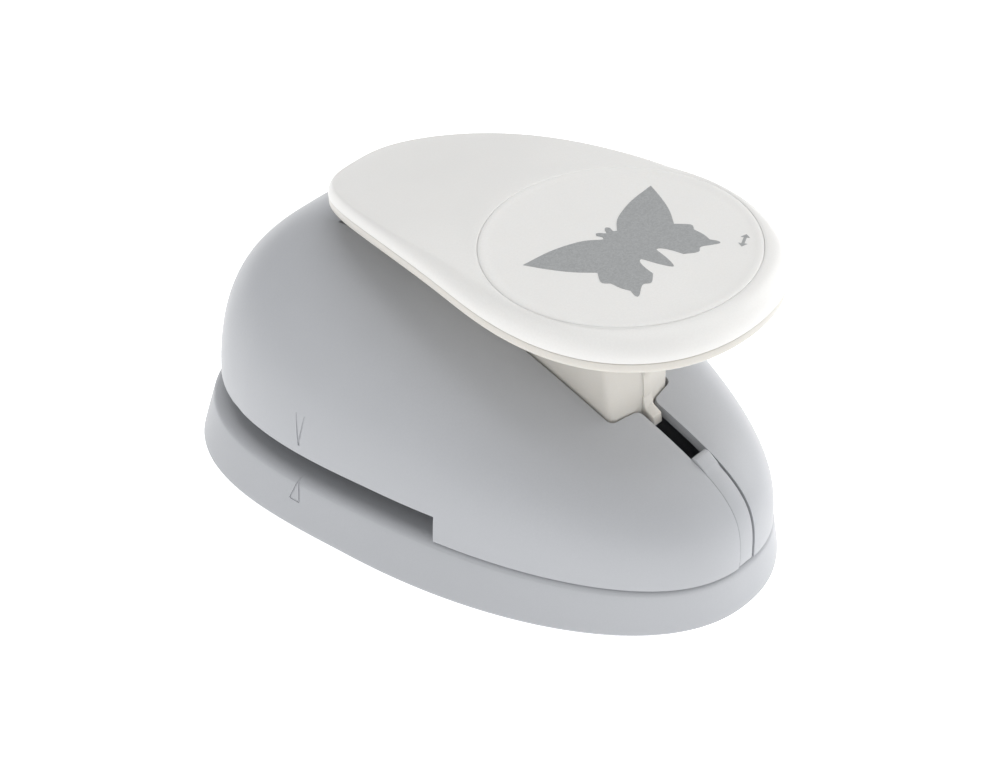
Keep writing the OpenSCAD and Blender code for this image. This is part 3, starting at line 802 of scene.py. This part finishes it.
def build_stem():
    """The hollow stem, from a foot that rises towards its back to a small flare under the rim"""
    levels = np.concatenate([[STEM_LOW, STEM_LOW + 0.4], np.linspace(36, STEM_STRAIGHT, 12)])

    def even(ring):
        """The ring with its points spaced evenly"""
        closed = np.vstack([ring, ring[:1]])
        run = np.concatenate([[0], np.cumsum(np.linalg.norm(np.diff(closed, axis=0), axis=1))])
        at = np.linspace(0, run[-1], 161)[:-1]
        return np.column_stack([np.interp(at, run, closed[:, k]) for k in (0, 1)])

    def ring_at(z, inset):
        """A ring that follows the foot at STEM_LOW and is level at STEM_STRAIGHT"""
        q = even(stem_ring(z, inset))
        foot = np.interp(q[:, 1], [-12, -9, STEM_BACK], [STEM_LOW, 38.7, 45])
        rise = (z - STEM_LOW) / (STEM_STRAIGHT - STEM_LOW)
        return np.column_stack([q, foot + rise * (STEM_STRAIGHT - foot)])

    flare = 0.9
    rings = [ring_at(z, 0) for z in levels]
    for k in np.linspace(0, 1, 6):
        q = even(stem_ring(63, -flare * k**3))
        rings.append(np.column_stack([q, under_plate(q[:, 1]) - 2.6 * (1 - k) - 0.6]))
    q = even(stem_ring(STEM_TOP, STEM_T))
    inner = [np.column_stack([q, under_plate(q[:, 1])])] + [ring_at(z, STEM_T) for z in levels[::-1]]
    points, faces = loft(rings + inner, closed=True)
    stem = add_mesh("lever_frame_stem", points, faces, "lever", IVORY, 40)
    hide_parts("lever_frame")


def arc(y, z, radius, start, stop, step):
    """Points in Y and Z round a centre, with angles in degrees"""
    turn = np.radians(np.arange(start, stop, step))
    return [(y + radius * math.cos(a), z + radius * math.sin(a)) for a in turn]


def build_arms():
    """The stem's two arms, each with a bore for the pivot pin and a boss for the press pin"""
    pivot_boss_r, press_boss_r, press_pin_y = 6, 4.4, 16.5
    for side in (-1, 1):
        line = [(31.4, 45.0), (40.5, 42.3)]
        line += arc(PIVOT_Y, PIVOT_Z, pivot_boss_r, 100, -101, -10)
        line += [(23, 31.9), (PIVOT_Y - 23.1, 31.6)]
        line += arc(press_pin_y, PIVOT_Z, press_boss_r, -70, -131, -12)
        line += [(-8.5, 38.7), (-9, 40.5), (12, 46)]
        low, high = sorted((side * (STEM_HALF - 1.98), side * (STEM_HALF - 0.02)))
        points, faces = prism(line, low, high)
        arm = shaped("lever_frame_arm_" + ("right" if side > 0 else "left"), points, faces)
        bevel(arm, 0.3, 2)
        points, faces = prism(arc(PIVOT_Y, PIVOT_Z, PIVOT_BORE_R, 0, 360, 7.5), -20, 20)
        cut(arm, shaped("bore", points, faces))
        dress(arm, "lever", IVORY, 40)
        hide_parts("lever_frame")


def build_gusset():
    """A gusset that tapers down the stem's prow from under the pad into a narrow rib"""
    rib_low, rib_top, length, sunk = 37, 45.8, 27.5, 1.2
    rings = []
    for t in np.linspace(0, 1, 24):
        z = rib_low + length * t
        wall_y = stem_ring(z, 0)[0][1]
        rise = max(0, z - rib_top)
        reach = 0.06 + 0.68 * rise - 0.012 * rise**2
        half = 1.0 + 0.12 * min(rise, 7)
        if t == 1:
            z = under_plate(wall_y - reach) + 0.4
        right = [(half + 0.3, wall_y + sunk, z), (half, wall_y - reach * 0.7, z),
                 (half * 0.8, wall_y - reach, z)]
        left = [(-x, y, height) for x, y, height in right[::-1]]
        rings.append([(0, wall_y + sunk, z)] + right + left)
    sides, total = len(rings[0]), len(rings) * len(rings[0])
    faces = quads(len(rings), sides, wrap=True)
    faces += [tuple(range(sides - 1, -1, -1)), tuple(range(total - sides, total))]
    points = np.array(rings).reshape(-1, 3)
    gusset = add_mesh("lever_frame_gusset", points, faces, "lever", IVORY, 60)
    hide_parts("lever_frame")


def build_tab():
    """A tab at the stem's foot, which rides in the housing's slot"""
    tab_line = fillet([(-41.9, 34.0), (-41.9, 40.5), (-43.5, 40.5), (-44.1, 37.9), (-46.2, 36.7),
                       (-46.6, 34.3), (-41.9, 34.0)], [0, 0.2, 0.5, 1.0, 0.6, 0.5, 0], 6)[:-1]
    points, faces = prism(tab_line, -TAB_HALF, TAB_HALF)
    tab = shaped("lever_frame_tab", points, faces)
    bevel(tab, 0.4, 3)
    dress(tab, "lever", IVORY, 40)
    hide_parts("lever_frame")


# ---------------------------------------------------------------- butterfly print
# Half of the outline on a half width of 1, from the tail end of the body to the head, as in the CAD. Its
# curves run between these points, and the sharp ones are its corners.
WING = [(0, -0.57), (0.065, -0.43), (0.11, -0.25), (0.13, -0.23), (0.17, -0.26), (0.21, -0.36),
        (0.24, -0.5), (0.37, -0.59), (0.46, -0.55), (0.625, -0.65), (0.655, -0.62), (0.62, -0.53),
        (0.65, -0.42), (0.655, -0.29), (0.705, -0.2), (0.6, -0.055), (0.76, 0.145), (0.89, 0.375),
        (1, 0.62), (0.7, 0.59), (0.52, 0.55), (0.35, 0.49), (0.24, 0.43), (0.11, 0.31),
        (0.08, 0.34), (0.1, 0.405), (0.075, 0.44), (0.04, 0.42), (0, 0.365)]
WING_SHARP = {6, 11, 13, 15, 18, 23}
PRINT_HALF, PRINT_AT, PRINT_TURN = 18.7, (0.8, -2.3), -2


def smooth_outline(points, sharp, steps=5):
    """A closed curve through the points, rounded except at the sharp ones"""
    p = np.array(points, float)
    n = len(p)
    slope = (np.roll(p, -1, 0) - np.roll(p, 1, 0)) / 2
    out = []
    for i in range(n):
        j = (i + 1) % n
        a = p[j] - p[i] if i in sharp else slope[i]
        b = p[j] - p[i] if j in sharp else slope[j]
        for k in range(steps):
            t = k / steps
            out.append((2 * t**3 - 3 * t**2 + 1) * p[i] + (t**3 - 2 * t**2 + t) * a
                       + (3 * t**2 - 2 * t**3) * p[j] + (t**3 - t**2) * b)
    return np.array(out)


def print_shape(name, node, outline, place, turn):
    """A flat inked shape on the disc's face"""
    lift, half_t = 0.085, 0.03
    curve = bpy.data.curves.new(name, "CURVE")
    curve.dimensions = "2D"
    curve.fill_mode = "BOTH"
    spline = curve.splines.new("POLY")
    spline.points.add(len(outline) - 1)
    for point, q in zip(spline.points, outline):
        point.co = (q[0] * MM, q[1] * MM, 0, 1)
    spline.use_cyclic_u = True
    curve.extrude = half_t * MM
    source = new_object(name, curve)
    mesh = evaluated_mesh(source)
    bpy.data.objects.remove(source)
    mesh.transform(disc_matrix() @ Matrix.Translation(Vector((*place, lift)) * MM)
                   @ Matrix.Rotation(math.radians(turn), 4, "Z"))
    shape = new_object(name, mesh)
    dress(shape, "lever", INK, 40)
    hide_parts(node)


def build_print():
    """The butterfly and, in place of the lettering, a double-headed arrow"""
    right = [(x * PRINT_HALF, y * PRINT_HALF) for x, y in WING]
    left = [(-x, y) for x, y in right[-2:0:-1]]
    count = len(right)
    sharp = WING_SHARP | {2 * count - 2 - i for i in WING_SHARP if i}
    print_shape("motif_print_ink", "motif_print", smooth_outline(right + left, sharp), PRINT_AT, PRINT_TURN)
    arrow = [(-2.2, 0), (-1.1, 0.9), (-1.1, 0.3), (1.1, 0.3), (1.1, 0.9), (2.2, 0),
             (1.1, -0.9), (1.1, -0.3), (-1.1, -0.3), (-1.1, -0.9)]
    print_shape("size_mark_ink", "size_mark", arrow, (16, -18), 25)


# ---------------------------------------------------------------- springs
def build_springs():
    """Two coils with closed ends, in the place of the CAD's plain tubes"""
    low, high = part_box("return_springs")
    spring_x, spring_y, spring_r, closed_end = 25.5, 8.0, 4.3, 0.12
    wire, turns, n, sides = 0.45, 5.5, 150, 10
    radius = spring_r - wire
    z0, z1 = low.z / MM + wire, high.z / MM - wire
    for side in (-1, 1):
        t = np.linspace(0, 1, n)
        a = t * turns * 2 * math.pi
        z = z0 + (z1 - z0) * np.clip((t - closed_end) / (1 - 2 * closed_end), 0, 1)
        centre = np.column_stack([side * spring_x + radius * np.cos(a), spring_y + radius * np.sin(a), z])
        rings = []
        for k in range(n):
            ahead = centre[min(k + 1, n - 1)] - centre[max(k - 1, 0)]
            ahead /= np.linalg.norm(ahead)
            out = np.array([math.cos(a[k]), math.sin(a[k]), 0])
            up = np.cross(ahead, out)
            turn = np.arange(sides) * 2 * math.pi / sides
            rings.append(centre[k] + wire * (np.outer(np.cos(turn), out) + np.outer(np.sin(turn), up)))
        points, faces = loft(rings)
        coil = add_mesh("return_spring_" + ("right" if side > 0 else "left"), points, faces,
                        "base", WIRE, 60)
        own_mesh(coil)
        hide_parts("return_springs")


# ---------------------------------------------------------------- studio
def build_studio():
    """White surroundings, a sheet of paper that glows a little, and six soft lights"""
    world = bpy.data.worlds.new("studio")
    bpy.context.scene.world = world
    world.use_nodes = True
    background = world.node_tree.nodes["Background"]
    background.inputs["Color"].default_value = (1.0, 1.0, 1.0, 1)
    background.inputs["Strength"].default_value = 0.5

    m = Nodes("floor_paper")
    m.link(m.mix(m.ramp(m.noise(3, 2), 0.3, 0.7, 0, 1), (0.93, 0.93, 0.93), (0.95, 0.95, 0.95)),
           m.shader.inputs["Base Color"])
    m.shader.inputs["Roughness"].default_value = 0.9
    m.shader.inputs["Emission Color"].default_value = (1, 1, 1, 1)
    m.shader.inputs["Emission Strength"].default_value = 0.75
    size = 4.0
    mesh = bpy.data.meshes.new("floor")
    corners = [(-size, -size, 0), (size, -size, 0), (size, size, 0), (-size, size, 0)]
    mesh.from_pydata(corners, [], [(0, 1, 2, 3)])
    mesh.materials.append(m.material)
    floor = new_object("floor", mesh)

    aim = Vector((0, 0, 0.03))
    # Each light's name, place and size in metres, and power in watts
    lights = [("overhead", (0.1, -0.05, 1.1), 1.0, 4.6), ("key_back_left", (-0.95, 0.5, 0.7), 0.6, 0.8),
              ("shoulder_strip", (-0.62, -0.1, 0.9), 0.3, 0.6), ("fill_right", (1.05, -0.4, 0.5), 0.8, 5.4),
              ("fill_left", (-1.1, -0.1, 0.12), 0.8, 0.8), ("fill_front", (0.1, -1.1, 0.5), 0.8, 1.5)]
    for name, place, width, power in lights:
        data = bpy.data.lights.new(name, "AREA")
        data.shape = "SQUARE"
        data.size = width
        data.energy = power
        lamp = new_object(name, data)
        lamp.location = place
        lamp.rotation_euler = (aim - Vector(place)).to_track_quat("-Z", "Y").to_euler()


def build_camera():
    """The camera, which was fitted to the photo's outlines"""
    turn, rise, distance = math.radians(-48.24), math.radians(38.49), 597.94
    target = Vector((9.17, 4.49 + SEAT_Y, 12.36))
    back = Vector((math.sin(turn) * math.cos(rise), -math.cos(turn) * math.cos(rise), math.sin(rise)))
    data = bpy.data.cameras.new("camera")
    data.lens = 98.5
    data.sensor_width = 36
    data.clip_start = 0.01
    camera = new_object("camera", data)
    camera.location = (target + back * distance) * MM
    camera.rotation_euler = back.to_track_quat("Z", "Y").to_euler()
    bpy.context.scene.camera = camera


build_camera()
build_studio()
paint_cad_nodes()
build_base()
build_housing()
build_nose_clip()
build_lever_cover()
build_lever_frame()
build_print()
build_springs()

bpy.context.scene.view_settings.view_transform = "Standard"
